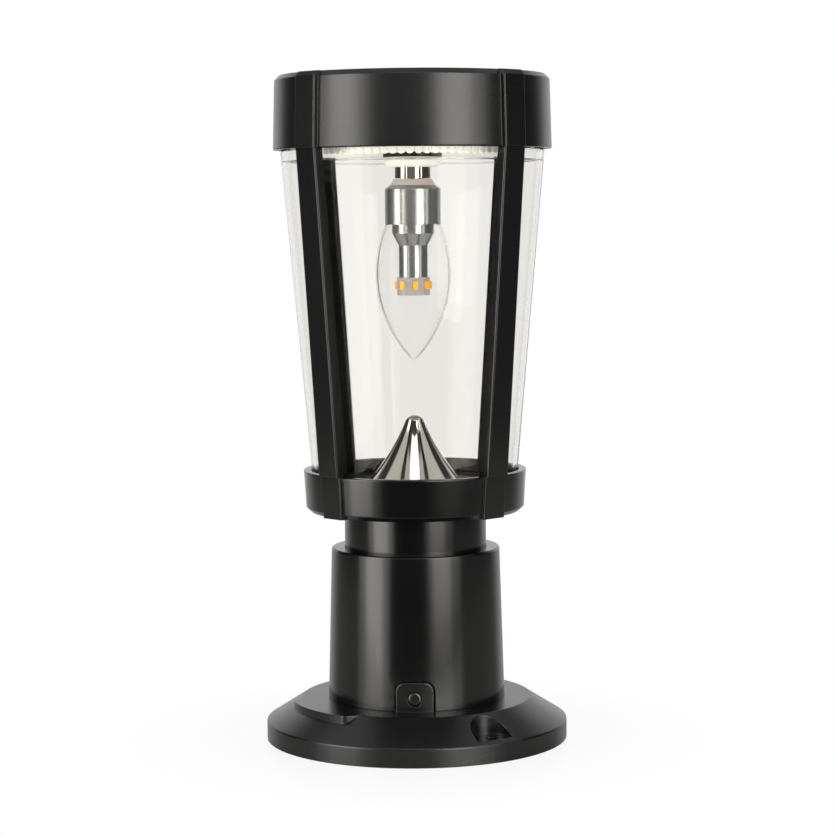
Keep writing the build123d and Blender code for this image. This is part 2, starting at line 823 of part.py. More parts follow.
def ceiling_screws():
    """The screws through the reflector into the tray."""
    length = ceiling_thickness - ceiling_screw_head_height + ceiling_screw_grip - fit_gap
    one = screw(ceiling_screw_radius, length, ceiling_screw_head_radius, ceiling_screw_head_height)
    place = Pos(0, -ceiling_screw_circle, ceiling_base + ceiling_screw_head_height) * Rot(180, 0, 0)
    return Compound(around(ceiling_screw_count, place * one, ceiling_screw_angle))


def lamp_holder():
    """Insulating body of the lamp holder, flanged to sit on the reflector, with a bore for the shell."""
    flange_top = ceiling_top + holder_flange_thickness
    bore = shell_radius + fit_gap / 2
    body = turned(
        (bore, holder_base),
        (holder_radius, holder_base),
        (holder_radius, ceiling_top),
        (holder_flange_radius, ceiling_top),
        (holder_flange_radius, flange_top),
        (holder_radius, flange_top),
        (holder_radius, holder_top),
        (0, holder_top),
        (0, contact_base + contact_thickness),
        (bore, contact_base + contact_thickness),
    )
    passage = upright_rod(holder_screw_radius + screw_gap, holder_screw_circle, ceiling_top, flange_top)
    for cut in around(2, passage, front_to_back / 2):
        body -= cut
    return body


def holder_screws():
    """The two screws that hold the lamp holder down on the reflector."""
    one = screw(
        holder_screw_radius,
        holder_flange_thickness - fit_gap,
        holder_screw_head_radius,
        holder_screw_head_height,
    )
    place = Pos(0, -holder_screw_circle, ceiling_top + holder_flange_thickness)
    return Compound(around(2, place * one, front_to_back / 2))


def holder_collar():
    """Bright collar under the lamp holder, rounded like a bowl."""
    bore = shell_radius + fit_gap / 2
    collar = ring(bore, collar_radius, collar_base, holder_base)
    return round_edges(collar, collar_round, collar_base, (bore + collar_radius) / 2)


def holder_shell():
    """Metal screw shell that the bulb's cap turns into."""
    return ring(shell_bore_radius, shell_radius, shell_base, contact_base + contact_thickness - fit_gap)


def holder_contact():
    """Centre contact at the top of the lamp holder."""
    return ring(0, contact_radius, contact_base, contact_base + contact_thickness)


def bulb_tip():
    """Centre contact of the bulb."""
    return ring(0, bulb_tip_radius, bulb_tip_base, bulb_tip_base + bulb_tip_length)


def bulb_cap():
    """Plain core of the bulb's screw cap, tapered at its top towards the contact."""
    taper = bulb_cap_radius - bulb_tip_radius
    return turned(
        (0, bulb_top),
        (bulb_cap_radius, bulb_top),
        (bulb_cap_radius, bulb_tip_base - taper),
        (bulb_tip_radius, bulb_tip_base),
        (0, bulb_tip_base),
    )


def bulb_skirt():
    """Pale insulating ring between the cap and the heat sink."""
    return turned(
        (0, skirt_base),
        (bulb_skirt_radius, skirt_base),
        (bulb_skirt_top_radius, bulb_top),
        (0, bulb_top),
    )


def heat_sink():
    """Turned metal body of the bulb, with a sloping shoulder."""
    body = turned(
        (0, sink_base),
        (sink_radius, sink_base),
        (sink_radius, sink_shoulder),
        (bulb_skirt_radius, skirt_base),
        (0, skirt_base),
    )
    return round_edges(body, sink_edge_round, sink_shoulder, 0)


def led_stem():
    """Metal stem that narrows from the heat sink to the ring of light chips."""
    return turned(
        (0, led_ring_top),
        (stem_radius, led_ring_top),
        (stem_radius, stem_top),
        (stem_collar_radius, stem_collar_base),
        (stem_collar_radius, sink_base),
        (0, sink_base),
    )


def led_ring():
    """White carrier of the light chips."""
    return ring(0, led_ring_radius, led_ring_base, led_ring_top)


def led_chips():
    """Light chips round their carrier, each on a small flat cut to its width."""
    flat = led_ring_radius * cos(radians(180 / led_chip_count))
    chip = Pos(0, -led_ring_radius, led_ring_top - led_chip_drop) * Box(
        led_chip_width, 2 * (led_ring_radius - flat) + led_chip_thickness, led_chip_height
    )
    return Compound([copy - led_ring() for copy in around(led_chip_count, chip, led_chip_angle)])


def envelope_outline(inset):
    """Half outline of the candle-shaped envelope, drawn in by an inset, from its mouth to its point."""
    mouth = (envelope_mouth_radius - inset, sink_base)
    belly = (envelope_radius - inset, sink_base - envelope_belly_drop)
    point = (0, bulb_point + inset)
    upper = TangentArc(belly, mouth, tangent=(0, 1))
    lower = TangentArc(belly, point, tangent=(0, -1))
    return [upper, lower, Line(point, (0, sink_base)), Line((0, sink_base), mouth)]


def bulb_envelope():
    """Clear candle-shaped glass of the bulb, open at its mouth."""
    outside = revolve(Plane.XZ * make_face(envelope_outline(0)), Axis.Z)
    inside = revolve(Plane.XZ * make_face(envelope_outline(envelope_wall)), Axis.Z)
    return outside - inside


def battery_cells():
    """Two round cells that lie beside the lamp holder."""
    cell = Pos(0, -battery_offset, battery_height) * Rot(0, 90, 0) * Cylinder(battery_radius, battery_length)
    return Compound(around(2, cell))


def battery_boxes():
    """Moulded boxes that hold the cells up against the tray."""
    inner_length = battery_length + 2 * (battery_contact_thickness + fit_gap)
    inner_width = 2 * (battery_radius + running_gap)
    depth = tray_plate_base - battery_height + battery_radius + running_gap
    outer = Box(
        inner_length + 2 * battery_box_wall,
        inner_width + 2 * battery_box_wall,
        depth + battery_box_wall,
        align=(Align.CENTER, Align.CENTER, Align.MAX),
    )
    inner = Box(inner_length, inner_width, depth, align=(Align.CENTER, Align.CENTER, Align.MAX))
    return Compound(around(2, Pos(0, -battery_offset, tray_plate_base) * (outer - inner)))


def battery_contacts():
    """Contact plates at both ends of each cell."""
    reach = (battery_length + battery_contact_thickness) / 2 + fit_gap / 2
    plate = Box(battery_contact_thickness, battery_radius, battery_radius)
    ends = [Pos(side * reach, -battery_offset, battery_height) * plate for side in (-1, 1)]
    return Compound([copy for end in ends for copy in around(2, end)])


def control_board():
    """Charging and dusk-sensing board under the tray's plate."""
    board = Pos(0, 0, board_base) * Box(
        board_length, board_width, board_thickness, align=(Align.CENTER, Align.CENTER, Align.MIN)
    )
    hole = Pos(board_screw_spacing / 2, 0, board_base) * extrude(
        Circle(board_screw_radius + fit_gap), board_thickness
    )
    for cut in around(2, hole):
        board -= cut
    return board


def board_parts():
    """Chip and coil on the underside of the control board."""
    hang = (Align.CENTER, Align.CENTER, Align.MAX)
    chip = Pos(-board_length / 5, 0, board_base) * Box(*board_chip_size, align=hang)
    coil = Pos(board_length / 5, 0, board_base) * Cylinder(board_coil_radius, board_coil_height, align=hang)
    return Compound([chip, coil])


def board_screws():
    """The two screws that hold the control board to the tray."""
    length = board_thickness + board_standoff_height - fit_gap
    one = screw(board_screw_radius, length, board_screw_head_radius, board_screw_head_height)
    place = Pos(board_screw_spacing / 2, 0, board_base) * Rot(180, 0, 0)
    return Compound(around(2, place * one))


def switch_body():
    """Switch housing on top of the reflector, bored for its button."""
    height = switch_button_flange_height + switch_travel + switch_body_height
    block = Pos(0, -switch_offset, switch_base) * Box(
        switch_body_size, switch_body_size, height, align=(Align.CENTER, Align.CENTER, Align.MIN)
    )
    room = switch_button_radius + switch_button_flange + running_gap
    room_top = switch_base + 3 * running_gap + switch_button_flange_height + switch_travel
    return turned_to(front_to_back, block - upright_rod(room, switch_offset, switch_base, room_top))


def switch_button():
    """Push button that stands out under the reflector, kept in by its flange."""
    flange_base_level = switch_base + running_gap
    button = upright_rod(
        switch_button_radius, switch_offset, ceiling_base - switch_button_proud, flange_base_level
    )
    keeper = upright_rod(
        switch_button_radius + switch_button_flange,
        switch_offset,
        flange_base_level,
        flange_base_level + switch_button_flange_height,
    )
    return turned_to(front_to_back, button + keeper)


def lead(side, start, middle, end):
    """One insulated wire along a smooth route, mirrored to the side of its polarity."""
    route = Spline(*[(side * x, y, z) for x, y, z in (start, middle, end)])
    section = Plane(origin=route @ 0, z_dir=route % 0) * Circle(lead_radius)
    return sweep(section, path=route)


def leads(side):
    """Wires of one polarity: panel to board, board to lamp holder."""
    gap = (tray_plate_base - board_top) / 2
    low_gap = (board_base - holder_top) / 2
    panel_end = (lead_radius + screw_gap, 0, tray_plate_top)
    panel_bend = (lead_spread, 0, board_top + gap)
    panel_foot = (lead_spread + lead_radius, board_width / 4, board_top + lead_radius)
    lamp_top = (lead_spread, board_width / 4, board_base - lead_radius)
    lamp_bend = (lead_spread + lead_radius, board_width / 6, board_base - low_gap)
    lamp_end = (lead_spread, 0, holder_top + lead_radius)
    return Compound([lead(side, panel_end, panel_bend, panel_foot), lead(side, lamp_top, lamp_bend, lamp_end)])


pieces = {
    "flange_base": flange_base(),
    "post_sleeve": post_sleeve(),
    "sleeve_screws": sleeve_screws(),
    "neck_screws": neck_screws(),
    "lower_housing": lower_housing(),
    "cone_reflector": cone_reflector(),
    "cone_screw": cone_screw(),
    "shade_seal": shade_seal(),
    "glass_shade": glass_shade(),
    "strut_screws": strut_screws(),
    "top_ring": top_ring(),
    "head_seal": head_seal(),
    "panel_tray": panel_tray(),
    "panel_backing": panel_backing(),
    "solar_cells": solar_cells(),
    "panel_glass": panel_glass(),
    "ceiling_reflector": ceiling_reflector(),
    "ceiling_screws": ceiling_screws(),
    "lamp_holder": lamp_holder(),
    "holder_screws": holder_screws(),
    "holder_collar": holder_collar(),
    "holder_shell": holder_shell(),
    "holder_contact": holder_contact(),
    "bulb_tip": bulb_tip(),
    "bulb_cap": bulb_cap(),
    "bulb_skirt": bulb_skirt(),
    "heat_sink": heat_sink(),
    "led_stem": led_stem(),
    "led_ring": led_ring(),
    "led_chips": led_chips(),
    "bulb_envelope": bulb_envelope(),
    "battery_cells": battery_cells(),
    "battery_boxes": battery_boxes(),
    "battery_contacts": battery_contacts(),
    "control_board": control_board(),
    "board_parts": board_parts(),
    "board_screws": board_screws(),
    "switch_body": switch_body(),
    "switch_button": switch_button(),
    "positive_leads": leads(1),
    "negative_leads": leads(-1),
}
strut_names = ("strut_front_right", "strut_rear_right", "strut_rear_left", "strut_front_left")
pieces.update(zip(strut_names, around(strut_count, strut(), strut_start_angle)))

os.makedirs("parts", exist_ok=True)
for name, piece in pieces.items():
    export_step(piece, f"parts/{name}.step")
    print(name, len(piece.solids()), "solids", round(piece.volume / 1000, 2), "cm3")
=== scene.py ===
# %% [markdown]
# # A solar post light in the studio
# The lamp is a black post lantern: a cast flange and sleeve, four struts round a clear tapered shade,
# a candle bulb over a polished cone, and a solar head in the top ring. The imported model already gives
# every piece its place in metres. This lesson adds the finishes, and finer pieces where the eye looks
# closely, and then sets the camera and the light as they stood for the photograph.

# %% Load the frame
from math import cos, pi, radians, sin, tan

import bmesh
import bpy
from mathutils import Matrix, Vector


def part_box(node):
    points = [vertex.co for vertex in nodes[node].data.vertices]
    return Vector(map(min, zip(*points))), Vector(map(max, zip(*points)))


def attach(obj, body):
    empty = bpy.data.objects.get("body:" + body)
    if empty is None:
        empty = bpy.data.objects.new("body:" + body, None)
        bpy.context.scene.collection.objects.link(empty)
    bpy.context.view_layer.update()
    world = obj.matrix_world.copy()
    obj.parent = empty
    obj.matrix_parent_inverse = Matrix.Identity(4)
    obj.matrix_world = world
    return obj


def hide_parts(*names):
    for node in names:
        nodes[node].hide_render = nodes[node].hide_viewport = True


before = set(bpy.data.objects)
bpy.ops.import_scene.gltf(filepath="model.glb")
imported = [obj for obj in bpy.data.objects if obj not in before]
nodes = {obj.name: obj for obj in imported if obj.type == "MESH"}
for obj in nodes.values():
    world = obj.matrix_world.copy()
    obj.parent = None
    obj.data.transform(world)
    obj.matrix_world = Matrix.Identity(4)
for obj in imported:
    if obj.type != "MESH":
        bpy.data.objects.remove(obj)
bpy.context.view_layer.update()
MM = 0.001

# %% [markdown]
# ## Camera
# The photograph was taken with a long lens, a little above the middle of the lamp and tipped down by
# five degrees. A point a little to the right of the lamp's front, and a roll of half a degree, put the
# struts and the leaning axis where the photograph has them. The pose is built as one matrix, because its
# turns then follow each other in a fixed order.

# %% Camera
image_width = 836
focal_pixels = 2407.72
sensor_width = 36.0
camera_place = Vector((1.718, -1191.95, 262.25)) * MM
camera_pitch, camera_roll = 0.0860, -0.0080  # radians
camera_azimuth = radians(1.2)

bpy.ops.object.select_all(action="DESELECT")
bpy.ops.object.camera_add()
camera = bpy.context.object
camera.name = "photo_camera"
camera.data.sensor_width = sensor_width
camera.data.lens = sensor_width * focal_pixels / image_width
camera.matrix_world = (
    Matrix.Rotation(camera_azimuth, 4, "Z")
    @ Matrix.Translation(camera_place)
    @ Matrix.Rotation(pi / 2 - camera_pitch, 4, "X")
    @ Matrix.Rotation(camera_roll, 4, "Z")
)
bpy.context.scene.camera = camera
bpy.context.scene.view_settings.view_transform = "Standard"
print("lens", round(camera.data.lens, 1), "mm at", [round(c, 3) for c in camera.matrix_world.translation])

# %% [markdown]
# ## Tools for finishes
# Colours are written as the eye reads them, in sRGB hex, and one function turns them into the linear
# numbers that shaders work with. A second function adds any node with its settings and links, so each
# finish below reads as a short list of what the surface has.

# %% Colour and nodes
def linear(hex_colour):
    """An sRGB hex colour as linear red, green, blue and alpha."""
    channels = [int(hex_colour[place : place + 2], 16) / 255 for place in (1, 3, 5)]
    return [c / 12.92 if c <= 0.04045 else ((c + 0.055) / 1.055) ** 2.4 for c in channels] + [1.0]


def add_node(tree, kind, sockets=None, **settings):
    """Adds a node, sets its properties, and fills its sockets with values or with other nodes' outputs."""
    node = tree.nodes.new(kind)
    for name, value in settings.items():
        setattr(node, name, value)
    for name, value in (sockets or {}).items():
        if isinstance(value, bpy.types.NodeSocket):
            tree.links.new(value, node.inputs[name])
        else:
            node.inputs[name].default_value = value
    return node


print("middle grey #808080 is", round(linear("#808080")[0], 3), "in linear light")

# %% [markdown]
# A finish starts as one shader with plain values. Two patterns then bring it to life: a fine bump for the
# grain of the surface, and a slow drift of gloss, because no real coat is equally shiny all over. Both
# are noise on the piece's own coordinates, with sizes in real millimetres. Image textures could do the
# same, but noise needs no unwrapping and never repeats.

# %% Start, grain and gloss
def start_finish(name, colour, roughness, **sockets):
    """A new material whose one shader has plain values, ready for patterns to be added."""
    material = bpy.data.materials.new(name)
    material.use_nodes = True
    shader = material.node_tree.nodes["Principled BSDF"]
    shader.inputs["Base Color"].default_value = linear(colour)
    shader.inputs["Roughness"].default_value = roughness
    for socket, value in sockets.items():
        shader.inputs[socket.replace("_", " ")].default_value = value
    return material, material.node_tree, shader


def grain(tree, shader, size_mm, depth_mm, detail=2.0, rounded_mm=0.0):
    """A bump of a grain size and depth, over edges that may catch the light as if rounded."""
    place = add_node(tree, "ShaderNodeTexCoord").outputs["Object"]
    noise = add_node(
        tree, "ShaderNodeTexNoise", {"Vector": place, "Scale": 1 / (size_mm * MM), "Detail": detail}
    )
    bump = add_node(tree, "ShaderNodeBump", {"Height": noise.outputs["Fac"], "Distance": depth_mm * MM})
    if rounded_mm:
        rounded = add_node(tree, "ShaderNodeBevel", {"Radius": rounded_mm * MM}, samples=6)
        tree.links.new(rounded.outputs["Normal"], bump.inputs["Normal"])
    tree.links.new(bump.outputs["Normal"], shader.inputs["Normal"])


def uneven_gloss(tree, shader, size_mm, low, high):
    """Roughness that drifts between two values over the surface."""
    place = add_node(tree, "ShaderNodeTexCoord").outputs["Object"]
    noise = add_node(
        tree, "ShaderNodeTexNoise", {"Vector": place, "Scale": 1 / (size_mm * MM), "Detail": 3.0}
    )
    drift = add_node(
        tree,
        "ShaderNodeMapRange",
        {"Value": noise.outputs["Fac"], "From Min": 0.3, "From Max": 0.7, "To Min": low, "To Max": high},
    )
    tree.links.new(drift.outputs["Result"], shader.inputs["Roughness"])


# %% [markdown]
# ## Black finishes
# The castings, rings and struts wear a satin black powder coat: a very dark colour, a soft gloss that
# draws the tall lamps out into bands, and a fine orange-peel that keeps those bands from looking like
# glass. The flange and the top ring are rougher castings, so the same coat comes in two glosses. Edges
# are rounded in the shading, which gives each its thin line of light.

# %% Black coats
def black_coat(name, roughness):
    """Satin black powder coat of a roughness that drifts a little over the surface."""
    coat, tree, shader = start_finish(name, "#070707", roughness, IOR=1.5, Specular_IOR_Level=0.6)
    grain(tree, shader, size_mm=0.9, depth_mm=0.012, rounded_mm=0.7)
    uneven_gloss(tree, shader, size_mm=28.0, low=roughness - 0.01, high=roughness + 0.02)
    return coat


satin_black = black_coat("satin_black_powder_coat", roughness=0.18)
cast_black = black_coat("satin_black_casting", roughness=0.26)
print("black coats made:", satin_black.name, cast_black.name)

# %% [markdown]
# Smaller black parts each answer the light in their own way. Blackened steel is a dark metal that still
# glints on its edges, the recess of a screw keeps a dull oxide, darkened further as painted shade, moulded
# ABS spreads a grey sheen, and rubber hardly shines at all. One black could serve them all, but then they
# would melt into each other.

# %% Other black parts
# Blackened steel: a dark mirror, worn uneven by tools.
black_steel, tree, shader = start_finish("blackened_screw_steel", "#605e5b", 0.25, Metallic=1.0)
grain(tree, shader, size_mm=0.5, depth_mm=0.01)
uneven_gloss(tree, shader, size_mm=2.0, low=0.2, high=0.34)

# Black oxide and painted shade: dull and near black, a painted shade so that the driver's socket reads as a
# hole.
black_oxide_and_painted_shade, tree, shader = start_finish("black_oxide_and_painted_shade_recess", "#050505", 0.6, IOR=1.5)
grain(tree, shader, size_mm=0.4, depth_mm=0.02)

# Moulded ABS: a fine spark texture with a grey sheen.
black_plastic, tree, shader = start_finish("moulded_black_abs", "#131313", 0.45, IOR=1.53)
grain(tree, shader, size_mm=0.7, depth_mm=0.03)
uneven_gloss(tree, shader, size_mm=15.0, low=0.4, high=0.5)

# Seal rubber: soft, matte and slightly dusty.
seal_rubber, tree, shader = start_finish("black_seal_rubber", "#171717", 0.7, IOR=1.52)
grain(tree, shader, size_mm=0.6, depth_mm=0.05)
print("small black finishes made")

# %% [markdown]
# ## Clear finishes
# The shade is moulded acrylic and the bulb's envelope thin blown glass. In the photograph both walls are
# so thin that they hardly bend what lies behind them. A solid wall of the true index would show the struts
# twice and darken the sides, so the index is set low and a faint hard coat gives back the veil that the
# soft lamps lay on the shade. Only the lip of the rim keeps the true index, for its two dark lines.

# %% Clear finishes
# Moulded acrylic: nearly unseen, with a slow waviness and a pale veil on both sides.
clear_shade, tree, shader = start_finish(
    "clear_moulded_acrylic", "#f5f4f1", 0.0, IOR=1.06, Transmission_Weight=1.0,
    Coat_Weight=0.06, Coat_Roughness=0.0, Coat_IOR=2.4,
)
grain(tree, shader, size_mm=30.0, depth_mm=0.006, detail=0.0)

# Polished lip: a clear rod that bends the light into fine dark lines.
polished_lip, _, _ = start_finish(
    "polished_acrylic_lip", "#f4f3f0", 0.0, IOR=1.49, Transmission_Weight=1.0
)

# Blown glass: a thin dark outline, uneven as breath left it.
bulb_glass, tree, shader = start_finish(
    "thin_blown_glass", "#fefefe", 0.0, IOR=1.105, Transmission_Weight=1.0
)
grain(tree, shader, size_mm=18.0, depth_mm=0.02, detail=0.0)

# Solar glass: etched matte against glare, so that the cells look dark from every side.
solar_glass, tree, shader = start_finish(
    "matte_solar_glass", "#f2f5f4", 0.3, IOR=1.04, Transmission_Weight=1.0
)
grain(tree, shader, size_mm=1.0, depth_mm=0.03)
print("clear finishes made")

# %% [markdown]
# ## Bright metal
# The cone and the lamp holder's shell are chrome plate, polished but never quite flat. The bulb's heat
# sink is turned aluminium: rings from the tool run round it, and they stretch every highlight into an
# upright band. Real rings lie about a tenth of a millimetre apart, too fine to show, so they are drawn
# coarser. Anisotropy alone would stretch the light, but up close the metal would look bare.

# %% Chrome and turned aluminium
# Chrome plate: a clear mirror with a long, low ripple.
bright_chrome, tree, shader = start_finish("polished_chrome_plate", "#efebe3", 0.06, Metallic=1.0)
grain(tree, shader, size_mm=9.0, depth_mm=0.03, detail=1.0)

# Turned aluminium: silver, with highlights drawn out across fine tool rings.
turned_aluminium, tree, shader = start_finish(
    "turned_aluminium", "#d4d5d6", 0.2, Metallic=1.0, Anisotropic=0.6
)
tool_pitch_mm, tool_depth_mm = 0.35, 0.006
wave_length = 0.314  # of the wave pattern at a scale of 1
wave_scale = wave_length / (tool_pitch_mm * MM)
place = add_node(tree, "ShaderNodeTexCoord").outputs["Object"]
rings = add_node(
    tree,
    "ShaderNodeTexWave",
    {"Vector": place, "Scale": wave_scale, "Distortion": 0.4, "Detail": 2.0},
    bands_direction="Z",
)
bump = add_node(tree, "ShaderNodeBump", {"Height": rings.outputs["Fac"], "Distance": tool_depth_mm * MM})
tree.links.new(bump.outputs["Normal"], shader.inputs["Normal"])
round_axis = add_node(tree, "ShaderNodeTangent", direction_type="RADIAL", axis="Z")
tree.links.new(round_axis.outputs["Tangent"], shader.inputs["Tangent"])
print("chrome and turned aluminium made")

# %% [markdown]
# Hidden metal is plated against rust. Zinc on the screws is a dull silver with dark and bright patches,
# and the contacts are brass with a warm colour. A plain grey would do while the head is shut, but a lamp
# that opens is looked at closely.

# %% Plated metal
# Zinc plate: dull silver in patches.
zinc_steel, tree, shader = start_finish("zinc_plated_steel", "#b9bcbf", 0.3, Metallic=1.0)
grain(tree, shader, size_mm=0.8, depth_mm=0.02)
uneven_gloss(tree, shader, size_mm=3.0, low=0.22, high=0.4)

# Contact brass: warm yellow, rubbed bright where it touches.
contact_brass, tree, shader = start_finish("nickel_brass", "#c8b07a", 0.28, Metallic=1.0)
grain(tree, shader, size_mm=0.8, depth_mm=0.02)
uneven_gloss(tree, shader, size_mm=4.0, low=0.2, high=0.36)
print("plated metals made")

# %% [markdown]
# ## Pale parts of the lamp and its bulb
# Over the bulb, the ceiling and the holder's collar are polished reflectors, which throw the light down.
# They get a plain warm white, a painted reflection of the white surroundings that they mirror. The bulb has
# a beige insulating ring, a pale carrier for its light chips, and amber phosphor on the chips: the only
# strong colour that shows. Chips could glow, but the photographed lamp is off, so they are gel.

# %% Pale parts
# Painted reflection: a warm white with a soft gloss, in place of the white surroundings that the polished
# reflectors mirror.
white_as_painted_reflection, tree, shader = start_finish("white_painted_reflection", "#fdfbf5", 0.2, IOR=1.5)
grain(tree, shader, size_mm=2.0, depth_mm=0.01)
uneven_gloss(tree, shader, size_mm=12.0, low=0.15, high=0.26)

# Insulator: beige moulded plastic, half matte.
pale_insulator, tree, shader = start_finish("beige_insulator", "#bab2b0", 0.45, IOR=1.5)
grain(tree, shader, size_mm=1.2, depth_mm=0.03)
uneven_gloss(tree, shader, size_mm=5.0, low=0.38, high=0.52)

# Chip carrier: a greyish white board.
white_carrier, tree, shader = start_finish("white_chip_carrier", "#9b9496", 0.4, IOR=1.5)
grain(tree, shader, size_mm=1.0, depth_mm=0.02)
uneven_gloss(tree, shader, size_mm=4.0, low=0.32, high=0.48)

# Phosphor gel: amber drops with a soft shine.
light_chip, tree, shader = start_finish("phosphor_gel", "#ffb01e", 0.3, IOR=1.45)
grain(tree, shader, size_mm=0.4, depth_mm=0.03)
uneven_gloss(tree, shader, size_mm=1.0, low=0.22, high=0.4)
print("pale finishes made")

# %% [markdown]
# ## Parts inside the head
# Nobody sees these until the head is taken apart, but a part that opens needs them finished too: green
# solder mask on the board, a white board behind the cells, film shrunk over the batteries, and two wires.

# %% Inside the head
# Solder mask: glossy green lacquer over copper.
circuit_board, tree, shader = start_finish("green_solder_mask", "#1f5a34", 0.35, IOR=1.55)
grain(tree, shader, size_mm=1.5, depth_mm=0.03)
uneven_gloss(tree, shader, size_mm=6.0, low=0.28, high=0.45)

# Panel backing: a plain white sheet.
panel_board, tree, shader = start_finish("white_panel_backing", "#c9ccd0", 0.5, IOR=1.5)
grain(tree, shader, size_mm=1.5, depth_mm=0.03)
uneven_gloss(tree, shader, size_mm=10.0, low=0.42, high=0.58)

# Shrink film: tight over the cell, with faint ripples.
cell_wrap, tree, shader = start_finish("shrink_sleeve_film", "#3d6e57", 0.3, IOR=1.5)
grain(tree, shader, size_mm=6.0, depth_mm=0.05)
uneven_gloss(tree, shader, size_mm=10.0, low=0.25, high=0.4)

# Wire sheaths: soft vinyl.
red_wire, tree, shader = start_finish("red_wire_sheath", "#a01d18", 0.4, IOR=1.5)
grain(tree, shader, size_mm=0.8, depth_mm=0.02)
black_wire, tree, shader = start_finish("black_wire_sheath", "#141414", 0.4, IOR=1.5)
grain(tree, shader, size_mm=0.8, depth_mm=0.02)
print("finishes inside the head made")

# %% [markdown]
# ## Solar cells
# A solar cell is a dark blue wafer, coated so that it reflects little. Fine silver fingers run along it
# every millimetre or so, and wide busbars cross them. Lines could be modelled, but they are thinner than
# paper, so a mask of real pitch mixes the silver over the blue.

# %% Solar cells
silicon_cell, tree, shader = start_finish("silicon_solar_cell", "#0b1030", 0.4, IOR=1.1)
place = add_node(tree, "ShaderNodeTexCoord").outputs["Object"]
split = add_node(tree, "ShaderNodeSeparateXYZ", {"Vector": place})


def line_mask(coordinate, pitch_mm, width_mm):
    """1 on lines that repeat along a coordinate, 0 between them."""
    turns = add_node(tree, "ShaderNodeMath", {0: coordinate, 1: 1 / (pitch_mm * MM)}, operation="MULTIPLY")
    share = add_node(tree, "ShaderNodeMath", {0: turns.outputs[0], 1: 1.0}, operation="PINGPONG")
    edge = width_mm / pitch_mm
    return add_node(tree, "ShaderNodeMath", {0: share.outputs[0], 1: edge}, operation="LESS_THAN").outputs[0]


fingers = line_mask(split.outputs["X"], pitch_mm=1.2, width_mm=0.12)
busbars = line_mask(split.outputs["Y"], pitch_mm=19.0, width_mm=0.8)
silver = add_node(tree, "ShaderNodeMath", {0: fingers, 1: busbars}, operation="MAXIMUM")
crystal_size_mm = 7
crystals = add_node(tree, "ShaderNodeTexVoronoi", {"Vector": place, "Scale": 1 / (crystal_size_mm * MM)})
blue = add_node(
    tree,
    "ShaderNodeMix",
    {"Factor": crystals.outputs["Color"], "A": linear("#0a0e2a"), "B": linear("#14204a")},
    data_type="RGBA",
)
cell_colour = add_node(
    tree,
    "ShaderNodeMix",
    {"Factor": silver.outputs[0], "A": blue.outputs["Result"], "B": linear("#8d939c")},
    data_type="RGBA",
)
tree.links.new(cell_colour.outputs["Result"], shader.inputs["Base Color"])
print("solar cells made")

# %% [markdown]
# ## Dress the CAD nodes
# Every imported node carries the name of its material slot. A finish could be named node by node, but the
# slots keep the solids and their looks in step, so the finishes go on in one loop, and only a few nodes
# get one of their own. Clear pieces cast no shadow, as thin glass hardly does, so that the light reaches
# the bulb and the cone.

# %% Dress the CAD nodes
finishes = {
    "satin_black": satin_black,
    "black_steel": black_steel,
    "zinc_steel": zinc_steel,
    "bright_chrome": bright_chrome,
    "seal_rubber": seal_rubber,
    "clear_shade": clear_shade,
    "bulb_glass": bulb_glass,
    "panel_board": panel_board,
    "circuit_board": circuit_board,
    "silicon_cell": silicon_cell,
    "black_plastic": black_plastic,
    "contact_brass": contact_brass,
    "pale_insulator": pale_insulator,
    "white_carrier": white_carrier,
    "light_chip": light_chip,
    "turned_aluminium": turned_aluminium,
    "cell_wrap": cell_wrap,
    "red_wire": red_wire,
    "black_wire": black_wire,
}
own_finishes = {
    "top_ring": cast_black,
    "flange_base": cast_black,
    # The collar's white is a painted reflection of the white surroundings.
    "holder_collar": white_as_painted_reflection,
    "panel_glass": solar_glass,
}
for name, node in nodes.items():
    slot_name = node.material_slots[0].material.name
    node.material_slots[0].material = own_finishes.get(name, finishes[slot_name])
for name in ("glass_shade", "bulb_envelope", "panel_glass"):
    nodes[name].visible_shadow = False
print("dressed", len(nodes), "nodes,", len(own_finishes), "with a finish of their own")

# %% [markdown]
# ## Shaping by hand
# The finer pieces are shaped as at the screen: a primitive, then edit mode, where faces and edges are
# picked by their place and pushed, bevelled or spun. Two helpers do the picking, and a third cuts one
# piece out of another.

# %% Picking and cutting
def pick_faces(test):
    """Selects, in edit mode, the faces whose middle and normal pass the test."""
    bpy.ops.mesh.select_mode(type="FACE")
    bpy.ops.mesh.select_all(action="DESELECT")
    shape = bmesh.from_edit_mesh(bpy.context.object.data)
    for face in shape.faces:
        if test(face.calc_center_median(), face.normal):
            face.select_set(True)
    bmesh.update_edit_mesh(bpy.context.object.data)


def pick_edges(test):
    """Selects, in edit mode, the edges whose middle and direction pass the test."""
    bpy.ops.mesh.select_mode(type="EDGE")
    bpy.ops.mesh.select_all(action="DESELECT")
    shape = bmesh.from_edit_mesh(bpy.context.object.data)
    for line in shape.edges:
        first, second = (corner.co for corner in line.verts)
        if test((first + second) / 2, (second - first).normalized()):
            line.select_set(True)
    bmesh.update_edit_mesh(bpy.context.object.data)


def cut_out(piece, cutter):
    """Cuts the cutter's shape out of a piece, leaves its finish in the cut and takes the cutter away."""
    bpy.context.view_layer.objects.active = piece
    hollow = piece.modifiers.new("hollow", "BOOLEAN")
    hollow.operation = "DIFFERENCE"
    hollow.solver = "EXACT"
    hollow.material_mode = "TRANSFER"
    hollow.object = cutter
    bpy.ops.object.modifier_apply(modifier=hollow.name)
    bpy.data.objects.remove(cutter)
